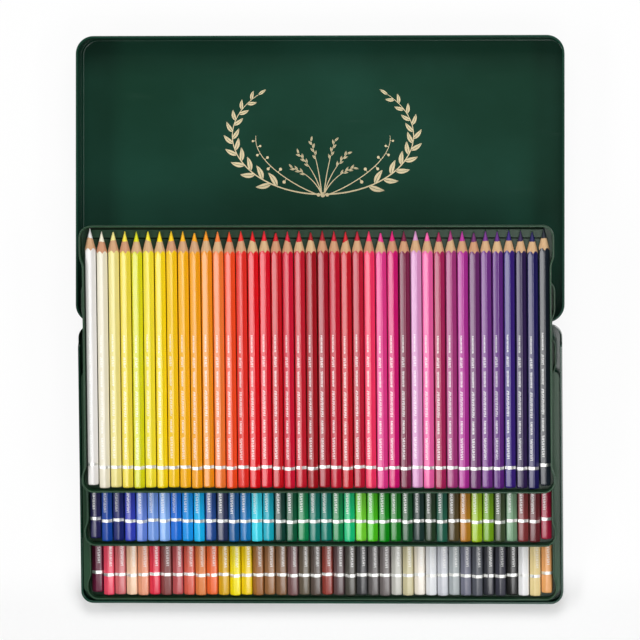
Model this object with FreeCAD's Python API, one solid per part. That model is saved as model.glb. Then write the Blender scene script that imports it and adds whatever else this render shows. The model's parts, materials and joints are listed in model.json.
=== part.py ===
import FreeCAD, Part
import math
import os

# Hinged sheet metal tin of coloured pencils: a deep lid that lies open and flat,
# a shallow base that leans on the hinge, three trays staggered like stairs, and their pencils.
# The tin is drawn about its hinge line (X axis, base towards -Y) and then set on the table.

# Sheet metal
sheet = 0.4
rim_roll = 1.0
rim_height = 1.6
rim_round = 0.45
edge_bend = 1.7
overrun = 2.0

# Pencils
pencil_count = 40
pencil_length = 175.0
across_flats = 7.4
pencil_gap = 0.47
pencil_round = 0.9
core_diameter = 3.9
glue_gap = 0.05
core_stop = 8.0
tip_radius = 0.25
sharpened_length = 14.7
end_round = 1.2
corner_setback = 2.3
length_scatter = 0.8
golden_share = 0.618

# Trays, drawn round a row of pencils
row_margin = 2.7
front_gap = 1.8
tip_gap = 4.4
seat_gap = 0.1
rim_cover = 2.85
tray_corner = 7.5
tray_wall = 0.6
tray_rim_round = 0.4
tray_floor = 0.8
tray_draft = 0.2
rim_lip = 0.5
lip_height = 1.0
ear_reach = 2.0
ear_run = 9.8
front_ear = 8.6
rear_ear = 19.0
stack_gap = 0.1
middle_travel = 39.1
top_travel = 77.6
ledge_length = 8.6
ledge_rise = 1.6
ridge_setback = 24.0
ridge_end = 8.0
ridge_relief = 0.15

# Flange of the bottom tray, which closes the gap beside it
flange_gap = 0.5
flange_drop = 0.6
flange_setback = 4.0
flange_end = 24.0
flange_corner = 5.0

# Base, drawn round the trays
tray_side_gap = 4.4
tray_inset = 2.8
tray_rear_gap = 6.6
hinge_height = 8.6
base_corner = 8.4
wall_rise = 3.4
rear_drop = 0.3
shoulder_run = 4.0
shoulder_setback = 3.0

# Lid, which slips over the base and the stacked trays
side_clearance = 0.3
front_clearance = 1.8
corner_ease = 2.0
headroom = 4.0

# Hinges: rolled knuckles on short leaves, with a wire pin each
hinge_count = 3
hinge_spacing = 110.0
hinge_offset = 1.5
knuckle_radius = 1.2
base_knuckle_length = 18.0
lid_knuckle_length = 9.0
knuckle_gap = 0.3
leaf_thickness = 0.45
leaf_height = 6.0
pin_radius = 0.6
pin_clearance = 0.1
pin_overhang = 0.8
bead_gap = 1.0

# Which pencils of the two lower trays share a colour family, in order from the left
middle_families = {
    "ultramarine": 4,
    "sky": 6,
    "navy": 4,
    "turquoise": 2,
    "green": 15,
    "olive": 6,
    "wine": 3,
}
bottom_families = {
    "rose": 5,
    "brick": 6,
    "ochre": 6,
    "umber": 7,
    "grey": 16,
}
top_colours = (
    "white ivory cream pale_lemon acid_yellow lemon light_yellow yellow sun_yellow corn_yellow "
    "gold_yellow orange deep_orange vermilion scarlet signal_red red carmine crimson dark_red "
    "deep_red ruby poppy_red madder rose bright_pink magenta plum pale_lilac pink "
    "raspberry orchid fuchsia mulberry violet deep_violet blue_violet dark_indigo night_blue blue_black"
).split()

# Places and sizes that follow from those above
corner_radius = across_flats / math.sqrt(3)
round_corner_radius = (across_flats / 2 - pencil_round) * 2 / math.sqrt(3) + pencil_round
flat_tilt = math.radians(30)
core_radius = core_diameter / 2
bore_radius = core_radius + glue_gap
pencil_pitch = across_flats + pencil_gap
tray_width = pencil_count * pencil_pitch + 2 * row_margin
tray_length = front_gap + pencil_length + tip_gap
tray_height = tray_floor + seat_gap + 2 * corner_radius + rim_cover
tray_pitch = tray_height + stack_gap
base_width = tray_width + 2 * tray_side_gap
base_length = tray_inset + tray_length + tray_rear_gap
base_rear = -hinge_offset
base_front = base_rear - base_length
base_under = -hinge_height
bottom_level = base_under + sheet
tray_front = base_front + tray_inset
lid_width = base_width + 2 * side_clearance + 2 * sheet
lid_length = base_length + front_clearance + sheet
lid_depth = bottom_level + 3 * tray_pitch + headroom
lid_corner = base_corner + side_clearance + sheet + corner_ease
lid_near = hinge_offset
lid_far = lid_near + lid_length
lid_under = -lid_depth - sheet


def point(x, y, z):
    return FreeCAD.Vector(x, y, z)


def box(x0, y0, z0, x1, y1, z1):
    return Part.makeBox(x1 - x0, y1 - y0, z1 - z0, point(x0, y0, z0))


def rounded_rectangle(width, front, rear, corner, level):
    """Closed wire: straight sides joined by quarter arcs."""
    half = width / 2
    diagonal = corner * (1 - math.sqrt(0.5))
    spots = []
    for sx, y_end, sy in ((1, rear, -1), (-1, rear, -1), (-1, front, 1), (1, front, 1)):
        side = point(sx * half, y_end + sy * corner, level)
        middle = point(sx * (half - diagonal), y_end + sy * diagonal, level)
        end = point(sx * (half - corner), y_end, level)
        spots.append((side, middle, end) if sx * sy < 0 else (end, middle, side))
    edges = []
    for now, after in zip(spots, spots[1:] + spots[:1]):
        edges.append(Part.Arc(*now).toShape())
        edges.append(Part.LineSegment(now[2], after[0]).toShape())
    return Part.Wire(edges)


def slab(width, front, rear, corner, low, high):
    face = Part.Face(rounded_rectangle(width, front, rear, corner, low))
    return face.extrude(point(0, 0, high - low))


def level_edges(shape, level):
    """Edges that lie wholly in one horizontal plane."""
    near = sheet / 100
    return [e for e in shape.Edges if all(abs(v.Z - level) < near for v in e.Vertexes)]


def pressed_shell(width, front, rear, corner, under, top):
    """Drawn sheet metal box, open at the top, with a bend between floor and walls."""
    outer = slab(width, front, rear, corner, under, top)
    outer = outer.makeFillet(edge_bend, level_edges(outer, under))
    floor = under + sheet
    inner = slab(width - 2 * sheet, front + sheet, rear - sheet, corner - sheet, floor, top + overrun)
    inner = inner.makeFillet(edge_bend - sheet, level_edges(inner, floor))
    return outer.cut(inner)


def rolled_rim(width, front, rear, corner, roll, top):
    """Rounded bead of a given roll inside the outline, at the top of a wall."""
    low = top - rim_height
    bead = slab(width, front, rear, corner, low, top)
    hole = slab(
        width - 2 * roll, front + roll, rear - roll, corner - roll, low - overrun, top + overrun
    )
    bead = bead.cut(hole)
    return bead.makeFillet(rim_round, level_edges(bead, top) + level_edges(bead, low))


def hinge_places():
    middle = (hinge_count - 1) / 2
    return [(n - middle) * hinge_spacing for n in range(hinge_count)]


def hinge_half_length():
    return base_knuckle_length / 2 + knuckle_gap + lid_knuckle_length


def lid_shell():
    shell = pressed_shell(lid_width, lid_near, lid_far, lid_corner, lid_under, 0)
    roll = rim_roll
    rim = rolled_rim(
        lid_width + 2 * roll, lid_near - roll, lid_far + roll, lid_corner + roll, roll + sheet, 0
    )
    shell = shell.fuse(rim)
    reach = hinge_half_length() + pin_overhang + bead_gap
    for x in hinge_places():
        gap = box(
            x - reach, lid_near - roll - overrun, -rim_height - overrun, x + reach, lid_near, overrun
        )
        inside = lid_near + sheet + overrun
        relief = box(x - reach, lid_near - overrun, -rear_drop, x + reach, inside, overrun)
        shell = shell.cut(gap).cut(relief)
    return shell.removeSplitter()


def base_shell():
    shell = pressed_shell(base_width, base_front, base_rear, base_corner, base_under, wall_rise)
    shell = shell.fuse(
        rolled_rim(base_width, base_front, base_rear, base_corner, rim_roll + sheet, wall_rise)
    )
    # The rear wall and its corners stay below the hinge plane, with a slanted shoulder each side.
    step = base_rear - base_corner - shoulder_setback
    profile = [
        point(-base_width, base_rear + overrun, -rear_drop),
        point(-base_width, step, -rear_drop),
        point(-base_width, step - shoulder_run, wall_rise + overrun),
        point(-base_width, base_rear + overrun, wall_rise + overrun),
    ]
    face = Part.Face(Part.makePolygon(profile + profile[:1]))
    return shell.cut(face.extrude(point(2 * base_width, 0, 0))).removeSplitter()


def knuckle(x, length, side):
    """Rolled tube on the hinge line with its leaf, on the base (side -1) or the lid (side 1)."""
    start = point(x - length / 2, 0, 0)
    along = point(1, 0, 0)
    tube = Part.makeCylinder(knuckle_radius, length, start, along)
    wall = side * hinge_offset
    face = side * (hinge_offset - leaf_thickness)
    leaf = box(start.x, min(wall, face), -leaf_height, start.x + length, max(wall, face), 0)
    bore = Part.makeCylinder(
        pin_radius + pin_clearance, length + 2 * overrun, start - along * overrun, along
    )
    return tube.fuse(leaf).cut(bore).removeSplitter()


def base_hinge_knuckles():
    return [knuckle(x, base_knuckle_length, -1) for x in hinge_places()]


def lid_hinge_knuckles():
    out = (base_knuckle_length + lid_knuckle_length) / 2 + knuckle_gap
    return [knuckle(x + s * out, lid_knuckle_length, 1) for x in hinge_places() for s in (-1, 1)]


def hinge_pins():
    half = hinge_half_length() + pin_overhang
    pins = []
    for x in hinge_places():
        pin = Part.makeCylinder(pin_radius, 2 * half, point(x - half, 0, 0), point(1, 0, 0))
        pins.append(pin.makeFillet(pin_radius / 2, [pin.Edges[0], pin.Edges[2]]))
    return pins


def tray_outline(inset, level):
    """Closed wire round a tray: sides that sway in between an ear at each corner."""
    draw = inset + tray_draft * (tray_height - level) / tray_height
    ear = tray_width / 2 - draw
    waist = ear - ear_reach
    between = (ear + waist) / 2
    corner = tray_corner - draw
    diagonal = corner * (1 - math.sqrt(0.5))
    turn = 2 * math.atan(ear_reach / ear_run)
    sway_radius = ear_run / (2 * math.sin(turn))
    inward = sway_radius * (1 - math.cos(turn / 2))
    onward = sway_radius * math.sin(turn / 2)
    front = tray_front + draw
    rear = tray_front + tray_length - draw
    y0 = tray_front + front_ear
    y1 = y0 + ear_run
    y3 = tray_front + tray_length - rear_ear
    y2 = y3 - ear_run
    # Start, middle and end of each arc of the right side, from the front to the rear.
    right = [
        ((ear - corner, front), (ear - diagonal, front + diagonal), (ear, front + corner)),
        ((ear, y0), (ear - inward, y0 + onward), (between, (y0 + y1) / 2)),
        ((between, (y0 + y1) / 2), (waist + inward, y1 - onward), (waist, y1)),
        ((waist, y2), (waist + inward, y2 + onward), (between, (y2 + y3) / 2)),
        ((between, (y2 + y3) / 2), (ear - inward, y3 - onward), (ear, y3)),
        ((ear, rear - corner), (ear - diagonal, rear - diagonal), (ear - corner, rear)),
    ]
    left = [[(-x, y) for x, y in reversed(arc)] for arc in reversed(right)]
    arcs = [[point(x, y, level) for x, y in arc] for arc in right + left]
    edges = []
    for now, after in zip(arcs, arcs[1:] + arcs[:1]):
        edges.append(Part.Arc(*now).toShape())
        if not now[2].isEqual(after[0], sheet / 100):
            edges.append(Part.LineSegment(now[2], after[0]).toShape())
    return Part.Wire(edges)


def tapered(inset, low, high):
    """Tray outline drawn in towards its foot, offset inwards by an inset."""
    return Part.makeLoft([tray_outline(inset, low), tray_outline(inset, high)], True, True)


def pencil_place(number):
    """Middle of a pencil across the tray, and its back end from the tray's front rim."""
    x = (number - (pencil_count - 1) / 2) * pencil_pitch
    ends = number in (0, pencil_count - 1)
    slack = corner_setback if ends else length_scatter * ((number + 1) * golden_share % 1)
    return x, tray_front + front_gap + slack


def ridges():
    """Floor ribs with a V for each pencil's lower corner."""
    rise = math.tan(flat_tilt) * pencil_pitch / 2 - ridge_relief
    y0 = tray_front + ridge_end
    y1 = tray_front + tray_length - ridge_setback
    points = []
    for n in range(pencil_count):
        x = pencil_place(n)[0]
        points.append(point(x, y0, tray_floor))
        if n < pencil_count - 1:
            points.append(point(x + pencil_pitch / 2, y0, tray_floor + rise))
    left, right = points[0], points[-1]
    under = point(0, 0, -tray_floor / 2)
    wire = Part.makePolygon([left + under] + points + [right + under, left + under])
    return Part.Face(wire).extrude(point(0, y1 - y0, 0))


def tray_lip():
    """Lip that stands out round the top of a tray's wall."""
    face = Part.Face(tray_outline(-rim_lip, tray_height))
    return face.extrude(point(0, 0, -lip_height))


def tray_flange():
    """Plate beside the bottom tray's rim, out to the base's bead."""
    width = base_width - 2 * (sheet + rim_roll + flange_gap)
    front = tray_front + flange_setback
    rear = tray_front + tray_length - flange_end
    top = tray_height - flange_drop
    return slab(width, front, rear, flange_corner, top - tray_wall, top)


def tray(flanged):
    """Moulded tray with a lipped wall, a stepped ledge behind the tips and ribbed floor."""
    outer = tapered(0, 0, tray_height).fuse(tray_lip())
    if flanged:
        outer = outer.fuse(tray_flange())
    inner = tapered(tray_wall, tray_floor, tray_height + overrun)
    rear = tray_front + tray_length
    step = rear - ledge_length
    half = tray_width
    ledge = box(-half, step, 0, half, rear, tray_floor + ledge_rise)
    inner = inner.cut(ledge)
    hollow = box(-half, step + tray_floor, -overrun, half, rear + overrun, ledge_rise)
    body = outer.cut(inner).removeSplitter()
    body = body.makeFillet(tray_rim_round, level_edges(body, tray_height)).cut(hollow)
    return body.fuse(ridges()).removeSplitter()


def sharpened_envelope():
    """Turned outline of a pencil: rounded back end, straight shaft and sharpened cone."""
    widest = corner_radius
    slope = (round_corner_radius - tip_radius) / sharpened_length
    cone_start = pencil_length - (widest - tip_radius) / slope
    bend = end_round * (1 - math.sqrt(0.5))
    a = point(0, 0, 0)
    b = point(widest - end_round, 0, 0)
    c = point(widest - bend, bend, 0)
    d = point(widest, end_round, 0)
    e = point(widest, cone_start, 0)
    f = point(tip_radius, pencil_length, 0)
    g = point(0, pencil_length, 0)
    edges = [Part.LineSegment(a, b).toShape(), Part.Arc(b, c, d).toShape()]
    for start, end in ((d, e), (e, f), (f, g), (g, a)):
        edges.append(Part.LineSegment(start, end).toShape())
    face = Part.Face(Part.Wire(edges))
    return face.revolve(point(0, 0, 0), point(0, 1, 0), 360)


def pencil():
    """Six sided wooden casing, corner upwards, and the round core glued into it."""
    corners = []
    for n in range(6):
        angle = math.radians(60 * n + 30)
        corners.append(point(corner_radius * math.cos(angle), 0, corner_radius * math.sin(angle)))
    bar = Part.Face(Part.makePolygon(corners + corners[:1])).extrude(point(0, pencil_length, 0))
    long_edges = [e for e in bar.Edges if abs(e.tangentAt(e.FirstParameter).y) > 0.5]
    bar = bar.makeFillet(pencil_round, long_edges)
    envelope = sharpened_envelope()
    along = point(0, 1, 0)
    bore = Part.makeCylinder(bore_radius, pencil_length, point(0, core_stop, 0), along)
    casing = bar.common(envelope).cut(bore)
    rod = Part.makeCylinder(
        core_radius, pencil_length, point(0, core_stop + glue_gap, 0), along
    )
    return casing.Solids[0], rod.common(envelope).Solids[0]


def lay_pencils(pieces, numbers, level, travel):
    """Copies of one pencil in their grooves of a tray at a level, drawn back by its travel."""
    height = level + tray_floor + seat_gap + corner_radius
    laid = []
    for number in numbers:
        x, y = pencil_place(number)
        for piece in pieces:
            laid.append(piece.translated(point(x, y + travel, height)))
    return laid


def family_groups(families):
    """Pencil numbers of each colour family, counted on from the left."""
    first = 0
    groups = {}
    for name, count in families.items():
        groups[name] = range(first, first + count)
        first += count
    return groups


def lean_angle():
    """Tilt at which the base's front edge bend touches the table under the open lid's hinge."""
    reach = -base_front - edge_bend
    height = hinge_height - edge_bend
    drop = lid_depth + sheet - edge_bend
    return math.asin(drop / math.hypot(reach, height)) - math.atan2(height, reach)


def leaning_nodes():
    """Everything that the base carries, drawn level about the hinge line."""
    nodes = {
        "base_shell": [base_shell()],
        "base_hinge_knuckles": base_hinge_knuckles(),
        "hinge_pins": hinge_pins(),
    }
    pieces = pencil()
    rows = (
        ("bottom", 0, bottom_families),
        ("middle", middle_travel, middle_families),
        ("top", top_travel, None),
    )
    for order, (name, travel, families) in enumerate(rows):
        level = bottom_level + order * tray_pitch
        nodes[name + "_tray"] = [tray(order == 0).translated(point(0, travel, level))]
        if families is None:
            for number, colour in enumerate(top_colours):
                node = f"pencil_{number + 1:02d}_{colour}"
                nodes[node] = lay_pencils(pieces, [number], level, travel)
        else:
            for family, numbers in family_groups(families).items():
                node = f"{name}_pencils_{family}"
                nodes[node] = lay_pencils(pieces, numbers, level, travel)
    return nodes


def set_on_table(nodes):
    """Lean the base about the hinge, and centre the whole part over the table's origin."""
    lean = math.degrees(lean_angle())
    placed = {}
    for name, solids in nodes["leaning"].items():
        placed[name] = [s.rotated(point(0, 0, 0), point(1, 0, 0), lean) for s in solids]
    placed.update(nodes["flat"])
    base_box = placed["base_shell"][0].optimalBoundingBox()
    lid_box = placed["lid_shell"][0].optimalBoundingBox()
    move = point(0, -(base_box.YMin + lid_box.YMax) / 2, -lid_under)
    print("hinge at y", move.y, "z", move.z, "lean", lean)
    return {name: [s.translated(move) for s in solids] for name, solids in placed.items()}


def main():
    os.makedirs("parts", exist_ok=True)
    flat = {"lid_shell": [lid_shell()], "lid_hinge_knuckles": lid_hinge_knuckles()}
    nodes = set_on_table({"leaning": leaning_nodes(), "flat": flat})
    for name, solids in nodes.items():
        shape = solids[0] if len(solids) == 1 else Part.makeCompound(solids)
        shape.exportStep(f"parts/{name}.step")
    print(len(nodes), "nodes,", sum(len(s) for s in nodes.values()), "solids")


main()
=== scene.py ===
import json
import math
import bpy
import numpy as np
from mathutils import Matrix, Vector


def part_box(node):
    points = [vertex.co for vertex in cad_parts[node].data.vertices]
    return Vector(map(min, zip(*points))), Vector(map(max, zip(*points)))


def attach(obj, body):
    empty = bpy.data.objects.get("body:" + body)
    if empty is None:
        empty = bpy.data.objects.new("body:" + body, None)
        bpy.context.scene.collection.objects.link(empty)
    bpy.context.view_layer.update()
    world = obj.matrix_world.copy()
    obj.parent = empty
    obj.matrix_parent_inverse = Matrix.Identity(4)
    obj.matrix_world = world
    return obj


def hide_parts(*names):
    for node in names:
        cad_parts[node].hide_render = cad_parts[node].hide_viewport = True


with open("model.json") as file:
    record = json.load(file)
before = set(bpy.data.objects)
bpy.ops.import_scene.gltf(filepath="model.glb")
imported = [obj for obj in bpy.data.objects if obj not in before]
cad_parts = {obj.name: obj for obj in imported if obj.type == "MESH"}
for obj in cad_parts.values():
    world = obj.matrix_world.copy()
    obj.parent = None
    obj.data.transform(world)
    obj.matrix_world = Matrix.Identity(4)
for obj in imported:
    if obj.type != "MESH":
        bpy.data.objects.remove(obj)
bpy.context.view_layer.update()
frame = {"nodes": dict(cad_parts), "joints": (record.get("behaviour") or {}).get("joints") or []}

scene = bpy.context.scene
nodes = frame["nodes"]
joints = {j["name"]: j for j in frame["joints"]}
mm = 0.001

# The base leans on the hinge with its trays and pencils: x across, y towards the lid, z square to the tray floors
hinge = np.array(joints["lid_hinge"]["pos_m"])
leanAxes = np.stack([
    np.array([1.0, 0.0, 0.0]),
    -np.array(joints["middle_tray_slide"]["axis"]),
    np.array(joints["pencil_01_white_lift"]["axis"]),
])


def toWorld(points):
    # hinge plus each leaning axis times its share
    return hinge + points @ leanAxes


def toBase(points):
    # the other way round: shares along the leaning axes
    return (points - hinge) @ leanAxes.T


def nodePoints(name):
    # a CAD node's vertices as one array
    mesh = nodes[name].data
    co = np.empty(len(mesh.vertices) * 3)
    mesh.vertices.foreach_get("co", co)
    return co.reshape(-1, 3)


def linear(code):
    # sRGB hex to linear light
    c = np.array([int(code[i:i + 2], 16) for i in (0, 2, 4)]) / 255
    return np.where(c < 0.04045, c / 12.92, ((c + 0.055) / 1.055) ** 2.4)


def rgba(code):
    return (*linear(code), 1.0)


print("frame read")


class Wire:
    # a shader value, with arithmetic that makes math nodes
    def __init__(self, graph, socket):
        self.graph, self.socket = graph, socket

    def __add__(self, o):
        return self.graph.math("ADD", self, o)

    def __sub__(self, o):
        return self.graph.math("SUBTRACT", self, o)

    def __mul__(self, o):
        return self.graph.math("MULTIPLY", self, o)

    def __rsub__(self, o):
        return self.graph.math("SUBTRACT", o, self)

    __radd__ = __add__
    __rmul__ = __mul__


class Graph:
    # one material's nodes
    def __init__(self, name):
        self.material = bpy.data.materials.new(name)
        self.material.use_nodes = True
        self.tree = self.material.node_tree
        self.tree.nodes.clear()

    def node(self, kind, inputs=(), out=0, **settings):
        made = self.tree.nodes.new(kind)
        for key, value in settings.items():
            setattr(made, key, value)
        for key, value in dict(inputs).items():
            if isinstance(value, Wire):
                self.tree.links.new(value.socket, made.inputs[key])
            else:
                made.inputs[key].default_value = value
        return Wire(self, made.outputs[out]) if len(made.outputs) else made

    def math(self, operation, a, b=0.0, clamp=False):
        return self.node("ShaderNodeMath", {0: a, 1: b}, operation=operation, use_clamp=clamp)

    def clamp(self, a):
        return self.math("ADD", a, 0.0, True)

    def smooth(self, a, low, high):
        ends = {"Value": a, "From Min": low, "From Max": high}
        return self.node("ShaderNodeMapRange", ends, interpolation_type="SMOOTHSTEP")

    def noise(self, vector, scale, detail=3.0, roughness=0.5, distortion=0.0):
        ends = {"Vector": vector, "Scale": scale, "Detail": detail, "Roughness": roughness, "Distortion": distortion}
        return self.node("ShaderNodeTexNoise", ends)

    def streaks(self, vector, scales, detail, roughness=0.5, distortion=0.0):
        # noise with a scale of its own along each axis
        stretched = self.node("ShaderNodeMapping", {"Vector": vector, "Scale": scales})
        return self.noise(stretched, 1.0, detail, roughness, distortion)

    def mix(self, factor, a, b):
        return self.node("ShaderNodeMix", {0: factor, 6: a, 7: b}, out=2, data_type="RGBA")

    def shade(self, colour, light):
        # colour times a grey level
        grey = self.node("ShaderNodeCombineColor", {0: light, 1: light, 2: light})
        ends = {0: 1.0, 6: colour, 7: grey}
        return self.node("ShaderNodeMix", ends, out=2, data_type="RGBA", blend_type="MULTIPLY")

    def bump(self, height, distance, strength):
        return self.node("ShaderNodeBump", {"Height": height, "Distance": distance, "Strength": strength})

    def objectCoords(self):
        return self.node("ShaderNodeTexCoord", out=3)

    def uv(self):
        return self.node("ShaderNodeUVMap", uv_map="along")

    def field(self, name, out=0):
        return self.node("ShaderNodeAttribute", out=out, attribute_name=name)

    def finish(self, **inputs):
        ends = {key.replace("_", " "): value for key, value in inputs.items()}
        surface = self.node("ShaderNodeBsdfPrincipled", ends)
        self.node("ShaderNodeOutputMaterial", {"Surface": surface})
        return self.material


# Finishes: colours, then the scale of each pattern per metre (or per UV unit), and bump depths in metres
tin = {
    "deep": "0e3727", "lit": "154334", "roughness": 0.17,
    "cloud": 9.0, "peel": 1400.0, "rub": (18.0, 160.0, 18.0), "speck": 620.0, "depth": 0.00002,
}


def tinMaterial():
    # satin lacquer on sheet metal: cloudy tone, orange peel and a few faint rubbed streaks
    g = Graph("tinLacquer")
    p = g.objectCoords()
    cloud = g.noise(p, tin["cloud"], 4.0)
    peel = g.noise(p, tin["peel"], 2.0)
    rub = g.smooth(g.streaks(p, tin["rub"], 5.0, 0.65), 0.58, 0.8)
    speck = g.smooth(g.noise(p, tin["speck"], 1.0), 0.74, 0.82)
    tone = g.mix(g.smooth(cloud, 0.3, 0.7), rgba(tin["deep"]), rgba(tin["lit"]))
    tone = g.shade(tone, 1.0 + rub * 0.1 + speck * 0.2)
    return g.finish(
        Base_Color=tone, Roughness=tin["roughness"] + cloud * 0.06 + rub * 0.08,
        Normal=g.bump(peel, tin["depth"], 0.5),
    )


plastic = {"deep": "0f2f1c", "lit": "1f5030", "roughness": 0.3, "specular": 0.5}
# darker copy of the tray plastic for the slopes: its colour is painted shade, for the dark band under the rear rim and
# the dark line at the step
shadeDarkPlastic = {"deep": "081710", "lit": "0f2719", "roughness": 0.6, "specular": 0.1}
mould = {"grain": 900.0, "flow": (300.0, 25.0, 60.0), "dust": 260.0, "depth": 0.00003}


def trayMaterial(name, look):
    # thin moulded plastic: fine grain, flow lines along the tray and a little dust
    g = Graph(name)
    p = g.objectCoords()
    grain = g.noise(p, mould["grain"], 3.0, 0.6)
    flow = g.streaks(p, mould["flow"], 4.0)
    dust = g.smooth(g.noise(p, mould["dust"], 6.0, 0.7), 0.6, 0.85)
    tone = g.mix(g.clamp(flow * 0.7 + grain * 0.3), rgba(look["deep"]), rgba(look["lit"]))
    tone = g.shade(tone, 1.0 + dust * 0.4)
    return g.finish(
        Base_Color=tone, Roughness=look["roughness"] + grain * 0.12 + dust * 0.15,
        Specular_IOR_Level=look["specular"], Normal=g.bump(grain, mould["depth"], 0.6),
    )


steel = {
    "dull": "8f9394", "bright": "b9bdbd", "roughness": 0.25,
    "lines": (4000.0, 200.0, 200.0), "spots": 500.0, "depth": 0.00001,
}


def steelMaterial():
    # drawn wire: fine lines round the wire and dull spots
    g = Graph("hingeSteel")
    p = g.objectCoords()
    lines = g.streaks(p, steel["lines"], 3.0)
    tone = g.mix(g.noise(p, steel["spots"], 4.0), rgba(steel["dull"]), rgba(steel["bright"]))
    return g.finish(
        Base_Color=tone, Metallic=1.0, Roughness=steel["roughness"] + lines * 0.2,
        Normal=g.bump(lines, steel["depth"], 0.4),
    )


lacquer = {
    "roughness": 0.24, "coat": 0.7, "coatRoughness": 0.12,
    "runs": (60.0, 22.0, 1.0), "pores": (90.0, 900.0, 1.0), "depth": 0.00002,
}


def lacquerMaterial():
    # dipped gloss lacquer over cedar: the colour is the pencil's own, with faint runs along its length
    g = Graph("pencilLacquer")
    uv = g.uv()
    runs = g.streaks(uv, lacquer["runs"], 4.0)
    pores = g.streaks(uv, lacquer["pores"], 2.0)
    tone = g.shade(g.field("paint"), 0.93 + runs * 0.14)
    return g.finish(
        Base_Color=tone, Roughness=lacquer["roughness"] + runs * 0.1,
        Coat_Weight=lacquer["coat"], Coat_Roughness=lacquer["coatRoughness"],
        Normal=g.bump(pores * 0.4 + runs, lacquer["depth"], 0.35),
    )


wood = {
    "pale": "ddbb8c", "red": "cf9270", "late": "a8764e", "roughness": 0.62,
    "grain": (26.0, 60.0, 1.0), "fine": (140.0, 260.0, 1.0), "pores": (200.0, 700.0, 1.0), "depth": 0.00005,
}


def woodMaterial():
    # cut cedar: long grain, darker late wood lines and open pores, from pale tan to reddish
    g = Graph("pencilWood")
    uv = g.uv()
    tint = g.field("cedar", 2)
    grain = g.streaks(uv, wood["grain"], 6.0, 0.6, 0.6)
    fine = g.streaks(uv, wood["fine"], 3.0)
    pores = g.smooth(g.streaks(uv, wood["pores"], 2.0), 0.62, 0.75)
    tone = g.mix(tint, rgba(wood["pale"]), rgba(wood["red"]))
    tone = g.mix(g.smooth(grain, 0.42, 0.72) * 0.55, tone, rgba(wood["late"]))
    tone = g.shade(tone, 0.9 + fine * 0.2 - pores * 0.2)
    return g.finish(
        Base_Color=tone, Roughness=wood["roughness"] + fine * 0.15,
        Normal=g.bump(grain + fine * 0.5, wood["depth"], 0.6),
    )


pigment = {"roughness": 0.48, "turned": (12.0, 2600.0, 1.0), "crumbs": 2600.0, "depth": 0.00004}


def coreMaterial():
    # pressed pigment: matte, with sharpening lines round the cone and crumbs
    g = Graph("pencilCore")
    turned = g.streaks(g.uv(), pigment["turned"], 3.0)
    crumbs = g.noise(g.objectCoords(), pigment["crumbs"], 3.0, 0.7)
    tone = g.shade(g.field("paint"), 0.95 + turned * 0.16 + crumbs * 0.14)
    return g.finish(
        Base_Color=tone, Roughness=pigment["roughness"] + crumbs * 0.2,
        Normal=g.bump(turned + crumbs, pigment["depth"], 0.6),
    )


foil = {
    "dull": "f4f4f1", "bright": "fdfdfb", "roughness": 0.3, "wear": 900.0, "depth": 0.00001,
    "bandMetal": 0.8, "stampMetal": 0.15,
}


def foilMaterial(name, metallic):
    # hot stamped pale foil, slightly broken up
    g = Graph(name)
    wear = g.noise(g.objectCoords(), foil["wear"], 4.0, 0.6)
    tone = g.mix(g.smooth(wear, 0.35, 0.7), rgba(foil["dull"]), rgba(foil["bright"]))
    return g.finish(
        Base_Color=tone, Roughness=foil["roughness"] + wear * 0.15, Metallic=metallic,
        Normal=g.bump(wear, foil["depth"], 0.4),
    )


ink = {"thin": "d5c193", "full": "efdfb6", "roughness": 0.5, "cover": 420.0, "broad": 30.0, "depth": 0.00001}


def inkMaterial():
    # cream ink, laid on a little unevenly
    g = Graph("lidInk")
    p = g.objectCoords()
    cover = g.noise(p, ink["cover"], 4.0, 0.6)
    broad = g.noise(p, ink["broad"], 2.0)
    tone = g.mix(g.clamp(cover * 0.6 + broad * 0.4), rgba(ink["thin"]), rgba(ink["full"]))
    return g.finish(
        Base_Color=tone, Roughness=ink["roughness"] + cover * 0.15, Normal=g.bump(cover, ink["depth"], 0.4),
    )


materials = {
    "tin": tinMaterial(),
    "tray": trayMaterial("trayPlastic", plastic),
    # the slopes' darker plastic paints the shade under the rear rim and at the step
    "slope": trayMaterial("traySlope", shadeDarkPlastic),
    "steel": steelMaterial(),
    "lacquer": lacquerMaterial(),
    "wood": woodMaterial(),
    "core": coreMaterial(),
    "foil": foilMaterial("bandFoil", foil["bandMetal"]),
    "stamp": foilMaterial("stampFoil", foil["stampMetal"]),
    "ink": inkMaterial(),
}
print("materials made")

# The CAD nodes that stay in view
shownNodes = {
    "tin": ("lid_shell", "base_shell", "lid_hinge_knuckles", "base_hinge_knuckles"),
    "steel": ("hinge_pins",),
    "tray": ("bottom_tray", "middle_tray", "top_tray"),
}
for key, names in shownNodes.items():
    for name in names:
        nodes[name].data.materials.clear()
        nodes[name].data.materials.append(materials[key])


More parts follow.
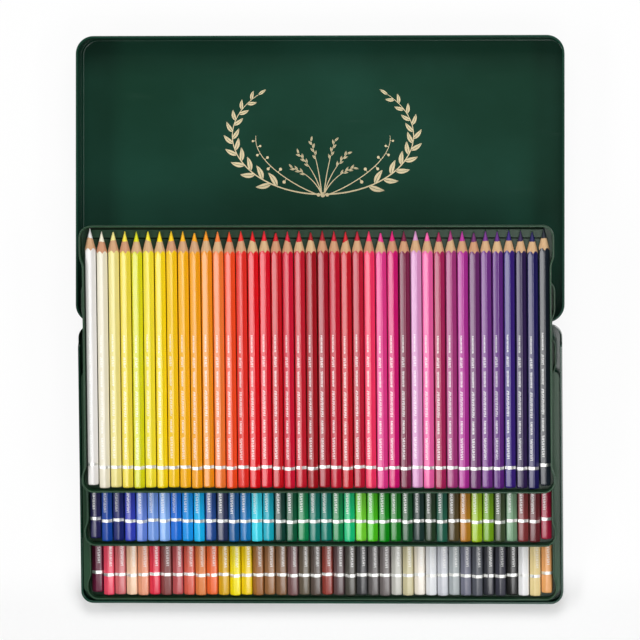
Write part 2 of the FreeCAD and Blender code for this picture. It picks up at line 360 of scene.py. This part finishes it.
class Gather:
    # collects the vertex, face, colour and UV arrays of one piece
    def __init__(self, *slots):
        self.slots = slots
        self.count = 0
        self.points, self.faces, self.paint, self.cedar = [], [], [], []

    def add(self, points, faces, paint=(0.8, 0.8, 0.8), cedar=0.5):
        # faces: (indices (n, k), uv (n, k, 2), material slot (n,), smooth)
        self.points.append(points)
        self.paint.append(np.tile([*paint, 1.0], (len(points), 1)))
        self.cedar.append(np.full(len(points), cedar))
        for index, uv, slot, smooth in faces:
            self.faces.append((index + self.count, uv, slot, smooth))
        self.count += len(points)

    def build(self, name):
        index, uv, slot, smooth = zip(*self.faces)
        points = np.concatenate(self.points)
        sizes = np.concatenate([np.full(len(i), i.shape[1]) for i in index])
        loops = np.concatenate([i.ravel() for i in index])
        mesh = bpy.data.meshes.new(name)
        mesh.vertices.add(len(points))
        mesh.vertices.foreach_set("co", points.ravel())
        mesh.loops.add(len(loops))
        mesh.loops.foreach_set("vertex_index", loops)
        mesh.polygons.add(len(sizes))
        mesh.polygons.foreach_set("loop_start", np.cumsum(sizes) - sizes)
        mesh.polygons.foreach_set("material_index", np.concatenate(slot))
        mesh.polygons.foreach_set("use_smooth", np.concatenate([np.full(len(i), k) for i, k in zip(index, smooth)]))
        layer = mesh.uv_layers.new(name="along")
        layer.data.foreach_set("uv", np.concatenate([u.reshape(-1, 2) for u in uv]).ravel())
        layer = mesh.attributes.new("paint", "FLOAT_COLOR", "POINT")
        layer.data.foreach_set("color", np.concatenate(self.paint).ravel())
        layer = mesh.attributes.new("cedar", "FLOAT", "POINT")
        layer.data.foreach_set("value", np.concatenate(self.cedar))
        for key in self.slots:
            mesh.materials.append(materials[key])
        mesh.update(calc_edges=True)
        mesh.validate()
        made = bpy.data.objects.new(name, mesh)
        scene.collection.objects.link(made)
        return made


def flatFaces(index, slot=0):
    # flat faces of one material, with no pattern along them
    return index, np.zeros((*index.shape, 2)), np.full(len(index), slot), False


def ringFaces(rings, around, along, slot):
    # quads between closed rings, then a fan at each pole; along (rings, around) is the UV's second value
    r, m = np.meshgrid(np.arange(rings - 1), np.arange(around), indexing="ij")
    n = (m + 1) % around
    index = np.stack([r * around + m, r * around + n, (r + 1) * around + n, (r + 1) * around + m], -1)
    u = np.stack([m, m + 1, m + 1, m], -1) / around
    v = np.stack([along[r, m], along[r, n], along[r + 1, n], along[r + 1, m]], -1)
    out = [(index.reshape(-1, 4), np.stack([u, v], -1).reshape(-1, 4, 2), slot.ravel(), True)]
    k = np.arange(around)
    after = (k + 1) % around
    last = (rings - 1) * around
    for pole, a, b, row, own in (
        (rings * around, after, k, 0, slot[0, 0]),
        (rings * around + 1, last + k, last + after, rings - 1, slot[-1, -1]),
    ):
        fan = np.stack([np.full(around, pole), a, b], -1)
        uv = np.stack([np.stack([k, k, k], -1) / around, np.repeat(along[row][:, None], 3, 1)], -1)
        out.append((fan, uv, np.full(around, own), True))
    return out


def boxFaces(count, slot):
    # faces of boxes whose eight corners are low ring then high ring, anticlockwise from above
    quads = np.array([[0, 3, 2, 1], [4, 5, 6, 7], [0, 1, 5, 4], [1, 2, 6, 5], [2, 3, 7, 6], [3, 0, 4, 7]])
    return flatFaces((np.arange(count)[:, None, None] * 8 + quads).reshape(-1, 4), slot)


# Pencils, in millimetres from the blunt end; what is given as a range or a chance differs from pencil to pencil
perRow = 40
pencil = {
    "flats": 7.15, "round": 0.85, "pillow": 0.03, "length": 175.0, "sharpened": 14.7, "tip": 0.25, "core": 1.95,
    "lip": 0.04, "arcSteps": 5, "flatSteps": 7, "woodSteps": 8, "coreSteps": 7,
    "bandAt": 13.0, "bandShift": 0.45, "band": 2.1, "wornBand": 0.55, "wornSteps": (2, 5),
    "roll": 11.0, "rollShift": 3.0,
    "slant": (0.0, 0.04), "moreSlant": (0.05, 0.13), "slantChance": 0.3, "ripples": ((5, 0.012), (9, 0.01)),
    "coreStep": (0.03, 0.16), "sharp": (0.2, 0.34), "blunt": (0.45, 0.7), "sharpChance": 0.7, "point": 0.2,
}
endCap = ((0.45, 0.0), (0.7, 0.02), (0.82, 0.1), (0.9, 0.26), (0.955, 0.5), (0.988, 0.85), (1.0, 1.3))  # share, at
bodyShares = (0.3, 0.6, 0.9, 0.985, 1.0)
tipCap = ((0.8, 0.09), (0.45, 0.17))  # share of the tip's radius, rise
topPaint = {
    "white": "ebe8e5", "ivory": "ebe4cd", "cream": "ede08a", "pale_lemon": "efda40", "acid_yellow": "d8d800",
    "lemon": "f2e02a", "light_yellow": "f6d800", "yellow": "f5c800", "sun_yellow": "f5b400",
    "corn_yellow": "f2a400", "gold_yellow": "ee9408", "orange": "f07c30", "deep_orange": "f04a14",
    "vermilion": "e42a1c", "scarlet": "e00010", "signal_red": "dc0022", "red": "c60014", "carmine": "d0002e",
    "crimson": "c60f28", "dark_red": "a50014", "deep_red": "a5001e", "ruby": "c00028", "poppy_red": "c6051e",
    "madder": "b90a2d", "rose": "f23061", "bright_pink": "e1378c", "magenta": "d40070", "plum": "78053c",
    "pale_lilac": "d796c8", "pink": "ee5fa5", "raspberry": "aa1955", "orchid": "a53278", "fuchsia": "b22a96",
    "mulberry": "682166", "violet": "712b85", "deep_violet": "5e1f7c", "blue_violet": "341478",
    "dark_indigo": "2c174b", "night_blue": "1b1358", "blue_black": "1a202d",
}
middlePaint = {
    "ultramarine": "211d53 0443a2 0e1d6a 2e3db9",
    "sky": "6787db 769ee6 86b5f6 0470db 0498ec 04baf6",
    "navy": "1e4c97 283259 045997 0476b9",
    "turquoise": "38ddf1 04afc4",
    "green": "054035 005a3a 008a50 007a6a 007f6f 00884a 00c47f 77d430"
             " 4cc410 008f0b 057f15 13552a 183530 213a20 1c5f4a",
    "olive": "554828 b87a1c a0c319 73a50a 3c4b2d 78a07d",
    "wine": "823232 69232a a01637",
}
bottomPaint = {
    "rose": "631637 f44d68 d56e72 fad2b0 efa07d",
    "brick": "ea2e4b 8a4846 c25457 e0604b e58646 f56d33",
    "ochre": "ddad17 fae802 f6d307 a26832 9d6d42 886242",
    "umber": "785252 685d4c 5d4f47 983d32 624d4e 524f47 424244",
    "grey": "645f5e 746c6b c8c7be d2c9a0 f6eee1 eceef1 cdcfd6 adb4b6"
            " 747586 545760 2f3038 3a3a46 1a1918 f6f6f6 efd99a f2ac6a",
}


def hexSection():
    # rounded hexagon, a corner up: arcs about the corner centres, and between them flats raised by 4 p t (1 - t)
    s = pencil
    corner = np.radians(30 + 60 * np.arange(6))[:, None]
    turn = np.radians(np.linspace(-30, 30, s["arcSteps"]))
    reach = (s["flats"] / 2 - s["round"]) * 2 / math.sqrt(3)
    arc = np.stack([
        reach * np.cos(corner) + s["round"] * np.cos(corner + turn),
        reach * np.sin(corner) + s["round"] * np.sin(corner + turn),
    ], -1)
    t = (np.arange(1, s["flatSteps"] + 1) / (s["flatSteps"] + 1))[:, None]
    start, end = arc[:, -1][:, None], np.roll(arc[:, 0], -1, 0)[:, None]
    face = corner + math.radians(30)
    out = np.stack([np.cos(face), np.sin(face)], -1)
    flat = start + (end - start) * t + out * (4 * s["pillow"] * t * (1 - t))
    return np.concatenate([arc, flat], 1).reshape(-1, 2)


section = hexSection()
sectionAngle = np.arctan2(section[:, 1], section[:, 0])
sectionRadius = np.hypot(section[:, 0], section[:, 1])
around = len(section)


def pencilRings(chance):
    # radius and distance from the blunt end on each ring, as (rings, around), and the point's distance;
    # on the cone, the distance from its point is (radius - tip) / slope, which scallops the edge of the lacquer
    s = pencil
    r = sectionRadius
    slope = (r.max() - s["tip"]) / s["sharpened"]
    band = s["bandAt"] + chance.uniform(-s["bandShift"], s["bandShift"])
    neck = s["length"] - (r - s["tip"]) / slope
    rings = [(share * r, np.full(around, at)) for share, at in endCap]
    rings += [(r, np.full(around, band)), (r, np.full(around, band + s["band"]))]
    for t in bodyShares:
        rings.append((r, band + s["band"] + (neck - band - s["band"]) * t))
    slant = chance.uniform(*s["slant"])
    slant += chance.uniform(*s["moreSlant"]) if chance.random() < s["slantChance"] else 0.0
    wave = slant * np.cos(sectionAngle - chance.uniform(0, 2 * np.pi))
    wave += sum(high * np.sin(lobes * sectionAngle + chance.uniform(0, 6)) for lobes, high in s["ripples"])
    coreEdge = s["core"] * (1 + wave)
    bare = r - s["lip"]
    for t in np.linspace(0, 1, s["woodSteps"]):
        radius = bare + (coreEdge - bare) * t
        rings.append((radius, s["length"] - (radius - s["tip"]) / slope))
    step = chance.uniform(*s["coreStep"])
    tip = chance.uniform(*s["sharp"]) if chance.random() < s["sharpChance"] else chance.uniform(*s["blunt"])
    stub = s["length"] - max(tip - s["tip"], 0) / slope
    edgeAt = s["length"] - (coreEdge - s["tip"]) / slope
    for t in np.linspace(0.02, 1, s["coreSteps"]):
        radius = (coreEdge - step) + (tip - coreEdge + step) * t
        rings.append((radius, edgeAt + (stub - edgeAt) * t))
    for share, rise in tipCap:
        rings.append((np.full(around, tip * share), np.full(around, stub + rise * tip / s["tip"])))
    end = stub + s["point"] * tip / s["tip"]
    return np.array([a for a, _ in rings]), np.array([b for _, b in rings]), end


pencilKeys = ("lacquer", "foil", "wood", "core", "stamp")


def pencilSlots(chance, rows):
    # which of the pencil's materials lies between each ring and the next; some bands are worn through
    band = len(endCap)
    bare = band + 2 + len(bodyShares)
    core = bare + pencil["woodSteps"] - 1
    slot = np.full((rows - 1, around), pencilKeys.index("lacquer"))
    slot[band] = pencilKeys.index("foil")
    slot[bare:core] = pencilKeys.index("wood")
    slot[core:] = pencilKeys.index("core")
    if chance.random() < pencil["wornBand"]:
        start = chance.integers(0, around)
        worn = (start + np.arange(chance.integers(*pencil["wornSteps"]))) % around
        slot[band, worn] = pencilKeys.index("lacquer")
    return slot


# Runs of plain bars on a facet, in millimetres: a run is (steps, width, pitch), and each step takes one of the shapes,
# which is two bars, each (shift along, length, width as a share, shift across as a share)
bars = {
    "start": (19.5, 20.5), "gap": 2.6, "half": 0.03, "shift": 0.15, "pillowShare": 0.6,
    "runs": ((13, 1.9, 1.15), (9, 1.5, 1.0), (16, 1.8, 1.1), (11, 1.4, 1.0), (6, 1.9, 1.2), (12, 1.2, 1.0)),
    "shapes": (
        ((0.0, 0.24, 1.0, 0.0), (0.5, 0.2, 0.5, 0.25)),
        ((0.05, 0.2, 0.75, -0.1), (0.45, 0.26, 0.9, 0.05)),
        ((0.0, 0.3, 0.85, 0.05), (0.55, 0.18, 0.45, -0.25)),
        ((0.08, 0.2, 0.55, 0.2), (0.42, 0.24, 1.0, 0.0)),
    ),
}


def foilBars(chance):
    # one row for each bar: (distance from the blunt end, length, width, shift across)
    rows = []
    at = chance.uniform(*bars["start"])
    for run, (steps, width, step) in enumerate(bars["runs"]):
        for n in range(steps):
            for along, length, share, across in bars["shapes"][(n * 5 + run + n // 3) % len(bars["shapes"])]:
                rows.append((at + along, length, width * share, width * across))
            at += step
        at += bars["gap"]
    return np.array(rows)


def addPencil(gather, chance, place, paint, side):
    # rings at (radius cos a, distance, radius sin a), rolled about the axis, and boxes for the bars on one facet;
    # side -1 shows more of the left upper facet, 1 more of the right one
    roll = math.radians(side * (pencil["roll"] + chance.uniform(-pencil["rollShift"], pencil["rollShift"])))
    radius, at, end = pencilRings(chance)
    angle = sectionAngle + roll
    rows = len(radius)
    local = np.stack([radius * np.cos(angle), at, radius * np.sin(angle)], -1).reshape(-1, 3)
    poles = np.array([[0, 0, 0], [0, end, 0]])
    points = toWorld(place + mm * np.concatenate([local, poles]))
    slot = pencilSlots(chance, rows)
    gather.add(points, ringFaces(rows, around, at * mm, slot), paint, chance.random())
    marks = foilBars(chance)
    lean = math.radians(90 - 30 * side) + roll
    out = np.array([math.cos(lean), 0, math.sin(lean)])
    across = np.array([math.sin(lean), 0, -math.cos(lean)])
    along = np.array([0, 1.0, 0])
    facet = pencil["flats"] / 2 + pencil["pillow"] * bars["pillowShare"]
    corners = []
    for lift in (facet - bars["half"], facet + bars["half"]):
        for a, b in ((-0.5, 0), (0.5, 0), (0.5, 1), (-0.5, 1)):
            corners.append(
                out * lift + across * (a * marks[:, 2:3] + marks[:, 3:] - bars["shift"] * side)
                + along * (marks[:, :1] + b * marks[:, 1:2])
            )
    boxes = np.stack(corners, 1).reshape(-1, 3)
    gather.add(toWorld(place + mm * boxes), [boxFaces(len(marks), pencilKeys.index("stamp"))], paint)


singles = sorted(n for n in nodes if n.startswith("pencil_"))
pitch = (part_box(singles[-1])[0].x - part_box(singles[0])[0].x) / (perRow - 1)


def rowPlaces(names):
    # blunt end of each pencil's axis in a row, read from the CAD pencils
    points = np.concatenate([toBase(nodePoints(n)) for n in names])
    number = np.round(points[:, 0] / pitch + (perRow - 1) / 2).astype(int)
    places = []
    for n in range(perRow):
        own = points[number == n]
        low, high = own.min(0), own.max(0)
        places.append([(low[0] + high[0]) / 2, low[1], (low[2] + high[2]) / 2])
    return np.array(places)


chance = np.random.default_rng(7)
for node, place in zip(singles, rowPlaces(singles)):
    colour = node.split("_", 2)[2]
    gather = Gather(*pencilKeys)
    addPencil(gather, chance, place, linear(topPaint[colour]), -1)
    made = gather.build("drawn_" + node)
    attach(made, node)
    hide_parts(node)
    "lacquer_" + colour
print("top row of pencils made")

for tray, body, families, side in (("middle", "middle_tray", middlePaint, -1), ("bottom", "base", bottomPaint, 1)):
    places = rowPlaces([f"{tray}_pencils_{family}" for family in families])
    first = 0
    for family, codes in families.items():
        gather = Gather(*pencilKeys)
        for code in codes.split():
            addPencil(gather, chance, places[first], linear(code), side)
            first += 1
        made = gather.build(f"drawn_{tray}_{family}")
        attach(made, body)
        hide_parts(f"{tray}_pencils_{family}")
print("lower rows of pencils made")

# Matte slopes moulded inside each tray, under its rear rim and below the step behind the tips, in a darker copy of the
# tray plastic: painted shade for the dark band under the rim and the dark line at the step; in millimetres
slopes = {
    "wall": 1.1, "corner": 7.5, "lip": 0.5, "ledge": 8.6, "ledgeTop": 2.4, "floorTop": 0.8,
    "rimDrop": 0.5, "draft": 2.8, "bevel": 1.2, "sink": 0.1,
}


def traySlopes(tray):
    # two prisms of triangular section carried straight across the tray
    s = slopes
    points = toBase(nodePoints(tray)) / mm
    low, high = points.min(0), points.max(0)
    back = high[1] - s["wall"] + s["sink"]
    step = high[1] - s["lip"] - s["ledge"] + s["sink"]
    ledge, floor = low[2] + s["ledgeTop"] - s["sink"], low[2] + s["floorTop"] - s["sink"]
    half = high[0] - s["corner"]
    triangles = (
        ((back - s["draft"], ledge), (back, ledge), (back, high[2] - s["rimDrop"])),
        ((step - s["bevel"], floor), (step, floor), (step, ledge + s["sink"])),
    )
    gather = Gather("slope")
    sides = np.array([[0, 1, 4, 3], [1, 2, 5, 4], [2, 0, 3, 5]])
    ends = np.array([[2, 1, 0], [3, 4, 5]])
    for triangle in triangles:
        prism = np.array([(x, y, z) for x in (-half, half) for y, z in triangle])
        gather.add(toWorld(prism * mm), [flatFaces(sides), flatFaces(ends)])
    return gather.build(tray + "_slopes")


for tray, body in (("bottom_tray", "base"), ("middle_tray", "middle_tray"), ("top_tray", "top_tray")):
    made = traySlopes(tray)
    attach(made, body)
print("tray slopes made")

# Cream plant wreath printed inside the lid: flat ribbons with a rectangular section, in millimetres, with y counted
# from the hinge. Turns are in radians up from the foot on each side, and pairs are (first, change for each next one)
ornament = {
    "middle": (0.0, 128.0), "foot": 40.0, "curveSteps": 60, "leafSteps": 17, "berrySteps": 15,
    "sheet": 0.4, "rise": 0.05, "layer": 0.006, "layers": 9, "sink": 0.05, "edge": 0.02, "vein": 0.16,
}
branch = {
    "reach": (62.0, 40.0), "turn": (0.02, 2.33), "thick": 1.0, "taper": 0.35,
    "leaves": 22, "bare": 4, "length": 12.5, "width": 1.9, "spread": 0.75, "bend": 0.5, "endLeaf": (0.5, 0.45),
}
berryStem = {
    "reach": (46.0, 27.0), "low": 2.0, "drop": 11.0, "turn": (0.1, 1.55), "thick": 0.7, "thin": 0.3,
    "berries": range(2, 9), "spots": (6, 6), "stalk": (3.2, -0.15), "stalkThick": 0.35, "stalkSteps": 6,
    "radius": (1.25, -0.07),
}
grass = {
    "blades": 3, "apart": 0.8, "lean": (0.1, 0.16), "length": (37.0, -5.0), "thick": 0.75, "thin": 0.2,
    "ears": 6, "earStep": 4, "earLength": 3.6, "earWidth": 0.5, "earSpread": 0.5,
}
footBerries = {"low": 40.3, "each": ((-3.0, 1.2), (0.0, 1.7), (3.0, 1.2))}  # each is (across, radius)


def ribbons(curves):
    # each curve is (left (n, 2), right (n, 2)); its section has four corners, both ends are closed, and curves
    # that cross lie a hair above each other
    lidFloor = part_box("lid_shell")[0].z / mm + ornament["sheet"]
    faces, points, count = [], [], 0
    for k, (left, right) in enumerate(curves):
        n = len(left)
        rim = np.zeros((n, 4, 3))
        rim[:, 0, :2] = rim[:, 1, :2] = left
        rim[:, 2, :2] = rim[:, 3, :2] = right
        rim[:, 0, 2] = rim[:, 3, 2] = lidFloor - ornament["sink"]
        rim[:, 1, 2] = rim[:, 2, 2] = lidFloor + ornament["rise"] + ornament["layer"] * (k % ornament["layers"])
        points.append(rim.reshape(-1, 3))
        r, m = np.meshgrid(np.arange(n - 1), np.arange(4), indexing="ij")
        after = (m + 1) % 4
        quads = np.stack([r * 4 + m, r * 4 + after, (r + 1) * 4 + after, (r + 1) * 4 + m], -1).reshape(-1, 4)
        ends = np.array([[3, 2, 1, 0], [4 * n - 4, 4 * n - 3, 4 * n - 2, 4 * n - 1]])
        faces.append(np.concatenate([quads, ends]) + count)
        count += 4 * n
    return np.concatenate(points), [flatFaces(np.concatenate(faces))]


def normals(curve):
    # unit vectors square to a curve, on its left
    d = np.gradient(curve, axis=0)
    d /= np.linalg.norm(d, axis=1)[:, None]
    return np.stack([-d[:, 1], d[:, 0]], -1)


def stem(curve, thick, thin):
    # a ribbon whose width runs evenly from thick to thin
    half = np.linspace(thick, thin, len(curve))[:, None] / 2
    n = normals(curve)
    return [(curve + n * half, curve - n * half)]


def leaf(foot, heading, length, width, bend=0.0):
    # two half blades either side of a bare vein; half width w sin(pi t^0.8)
    t = np.linspace(0.0, 1.0, ornament["leafSteps"])
    way = heading + bend * (t - 0.3)
    steps = np.stack([np.cos(way), np.sin(way)], -1) * length / (len(t) - 1)
    curve = foot + np.concatenate([[[0, 0]], np.cumsum(steps[1:], 0)])
    n = normals(curve)
    vein = ornament["vein"] * (1 - 0.5 * t)[:, None]
    blade = (width * np.sin(np.pi * t ** 0.8))[:, None] + ornament["edge"]
    return [(curve + n * (vein + blade), curve + n * vein), (curve - n * vein, curve - n * (vein + blade))]


def berry(middle, radius):
    # a disc as a ribbon across it: x is -r cos t and half its height r sin t
    t = np.linspace(0, np.pi, ornament["berrySteps"])
    x, half = -np.cos(t) * radius, np.sin(t) * radius + ornament["edge"] / 2
    return [(middle + np.stack([x, half], -1), middle + np.stack([x, -half], -1))]


def heading(way):
    return math.atan2(way[1], way[0])


def leafyBranch(side, t):
    # an ellipse up from the foot, with leaves in turn on both sides past its bare start, smaller towards its end
    s = branch
    cx, cy = ornament["middle"]
    a = -np.pi / 2 + side * (s["turn"][0] + s["turn"][1] * t)
    curve = np.stack([cx + s["reach"][0] * np.cos(a), cy + s["reach"][1] * np.sin(a)], -1)
    out = stem(curve, s["thick"], s["thick"] * s["taper"])
    d = np.gradient(curve, axis=0)
    for n in range(s["bare"], s["leaves"]):
        at = (n + 1.2) / (s["leaves"] + 1)
        spot = int(at * (len(curve) - 1))
        hand = 1 if n % 2 else -1
        size = 1 - 0.5 * at
        way = heading(d[spot]) + hand * s["spread"]
        out += leaf(curve[spot], way, s["length"] * size, s["width"] * size, -hand * s["bend"])
    long, wide = s["endLeaf"]
    return out + leaf(curve[-1], heading(d[-1]), s["length"] * long, s["width"] * wide)


def berryBranch(side, t):
    # a smaller ellipse, drawn down to the foot by drop (1 - t)^2, with berries on short stalks either side
    s = berryStem
    cx, cy = ornament["middle"]
    a = -np.pi / 2 + side * (s["turn"][0] + s["turn"][1] * t)
    high = s["reach"][1] + s["drop"] * (1 - t) ** 2
    curve = np.stack([cx + s["reach"][0] * np.cos(a), cy - s["low"] + high * np.sin(a)], -1)
    out = stem(curve, s["thick"], s["thin"])
    n = normals(curve)
    for k in s["berries"]:
        spot = s["spots"][0] + s["spots"][1] * k
        off = side * (s["stalk"][0] + s["stalk"][1] * k) * (1 if k % 2 else -1)
        end = curve[spot] + n[spot] * off
        out += stem(np.linspace(curve[spot], end, s["stalkSteps"]), s["stalkThick"], s["thin"])
        out += berry(end, s["radius"][0] + s["radius"][1] * k)
    return out


def grasses(side, t):
    # blades that fan out from the foot and lean over as lean (1 + t), with narrow ears near their ends
    s = grass
    cx, cy = ornament["middle"]
    out = []
    for k in range(s["blades"]):
        lean = side * (s["lean"][0] + s["lean"][1] * k)
        far = t * (s["length"][0] + s["length"][1] * k)
        across = cx + side * s["apart"] + np.sin(lean + lean * t) * far
        blade = np.stack([across, cy - ornament["foot"] + np.cos(lean * (1 + t)) * far], -1)
        out += stem(blade, s["thick"], s["thin"])
        for j in range(s["ears"]):
            spot = len(t) - 1 - s["earStep"] * j
            turn = s["earSpread"] if j % 2 else -s["earSpread"]
            out += leaf(blade[spot], heading(blade[spot] - blade[spot - 3]) + turn, s["earLength"], s["earWidth"])
    return out


def plantOrnament():
    # two mirrored halves, and three berries where the stems meet
    t = np.linspace(0, 1, ornament["curveSteps"])
    cx, cy = ornament["middle"]
    out = []
    for side in (-1, 1):
        out += leafyBranch(side, t) + berryBranch(side, t) + grasses(side, t)
    for x, radius in footBerries["each"]:
        out += berry(np.array([cx + x, cy - footBerries["low"]]), radius)
    points, faces = ribbons(out)
    gather = Gather("ink")
    gather.add(points * mm + np.array([0.0, hinge[1], 0.0]), faces)
    return gather.build("lid_plant_print")


printed = plantOrnament()
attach(printed, "lid")
print("lid print made")


# White paper floor, with a low backdrop far away, in metres: it glows for camera, gloss and glass, less so in front of
# the part, where its shadow falls, and wholly so further away
paper = {
    "tone": "fbfbfb", "fibre": 300.0, "half": 10.0, "wall": 0.8, "drop": 0.0001, "glow": 0.9, "frontGlow": 0.08,
    "frontFrom": -0.2, "frontTo": -0.165, "fadeFrom": 0.22, "fadeTo": 0.6,
}


def floorMaterial():
    s = paper
    g = Graph("paperFloor")
    p = g.objectCoords()
    fibre = g.noise(p, s["fibre"], 4.0)
    tone = g.shade(rgba(s["tone"]), 0.985 + fibre * 0.03)
    sheet = g.node("ShaderNodeBsdfDiffuse", {"Color": tone})
    glow = g.node("ShaderNodeEmission", {"Color": (1, 1, 1, 1), "Strength": 1.0})
    camera, gloss, glass = (
        g.node("ShaderNodeLightPath", out=ray) for ray in ("Is Camera Ray", "Is Glossy Ray", "Is Transmission Ray")
    )
    reach = g.node("ShaderNodeVectorMath", {0: p}, out="Value", operation="LENGTH")
    away = g.smooth(reach, s["fadeFrom"], s["fadeTo"])
    back = g.smooth(g.node("ShaderNodeSeparateXYZ", {0: p}, out="Y"), s["frontFrom"], s["frontTo"])
    near = s["frontGlow"] + back * (s["glow"] - s["frontGlow"])
    share = g.clamp(camera + gloss + glass) * (near + away * (1 - near))
    mixed = g.node("ShaderNodeMixShader", {0: share, 1: sheet, 2: glow})
    g.node("ShaderNodeOutputMaterial", {"Surface": mixed})
    return g.material


floorMesh = bpy.data.meshes.new("floor")
corners = [(-1, -1), (1, -1), (1, 1), (-1, 1)]
floorMesh.from_pydata(
    [(x * paper["half"], y * paper["half"], z) for z in (-paper["drop"], paper["wall"]) for x, y in corners], [],
    [(0, 1, 2, 3), (0, 4, 5, 1), (1, 5, 6, 2), (2, 6, 7, 3), (3, 7, 4, 0)],
)
floorMesh.materials.append(floorMaterial())
floor = bpy.data.objects.new("floor", floorMesh)
scene.collection.objects.link(floor)

# Softboxes: (radiance, width, length, distance, degrees from the vertical, heading in degrees from +X)
softboxes = {
    "leftStrip": (5.5, 1.3, 0.42, 1.7, 40.0, 186.0),
    "rightStrip": (5.8, 1.3, 0.26, 1.7, 36.0, -8.0),
    "backBox": (5.6, 1.1, 0.8, 1.9, 32.0, 82.0),
    "frontBox": (6.6, 0.34, 0.3, 1.1, 20.0, -52.0),
    "frontFill": (1.1, 1.6, 0.6, 1.9, 48.0, -96.0),
}
for name, (radiance, width, length, distance, tilt, bearing) in softboxes.items():
    lamp = bpy.data.lights.new(name, "AREA")
    lamp.shape = "RECTANGLE"
    lamp.size, lamp.size_y = width, length
    lamp.energy = radiance * math.pi * width * length
    box = bpy.data.objects.new(name, lamp)
    a, b = math.radians(tilt), math.radians(bearing)
    spot = Vector((math.sin(a) * math.cos(b), math.sin(a) * math.sin(b), math.cos(a))) * distance
    box.location = spot
    box.rotation_euler = (-spot).to_track_quat("-Z", "Y").to_euler()
    box.visible_camera = False
    scene.collection.objects.link(box)

# A dim even sky
sky = {"Color": (1, 1, 1, 1), "Strength": 0.08}
world = bpy.data.worlds.new("studio")
world.use_nodes = True
for key, value in sky.items():
    world.node_tree.nodes["Background"].inputs[key].default_value = value
scene.world = world
scene.view_settings.view_transform = "Standard"

# The photograph's camera: almost overhead, a little to the right, with a long lens
view = {
    "aim": (0.0003, 0.0, 0.033), "away": (0.07, 0.0, 1.0), "distance": 5.2, "pixelsPerMm": 1.474,
    "imageWidth": 640, "sensor": 36.0, "farthest": 200.0,
}
camera = bpy.data.objects.new("camera", bpy.data.cameras.new("camera"))
away = Vector(view["away"]).normalized()
camera.location = Vector(view["aim"]) + away * view["distance"]
camera.rotation_euler = (0.0, math.atan2(away.x, away.z), 0.0)
camera.data.sensor_width = view["sensor"]
camera.data.lens = view["sensor"] * view["pixelsPerMm"] * view["distance"] / mm / view["imageWidth"]
camera.data.clip_end = view["farthest"]
scene.collection.objects.link(camera)
scene.camera = camera
print("stage, light and camera set")
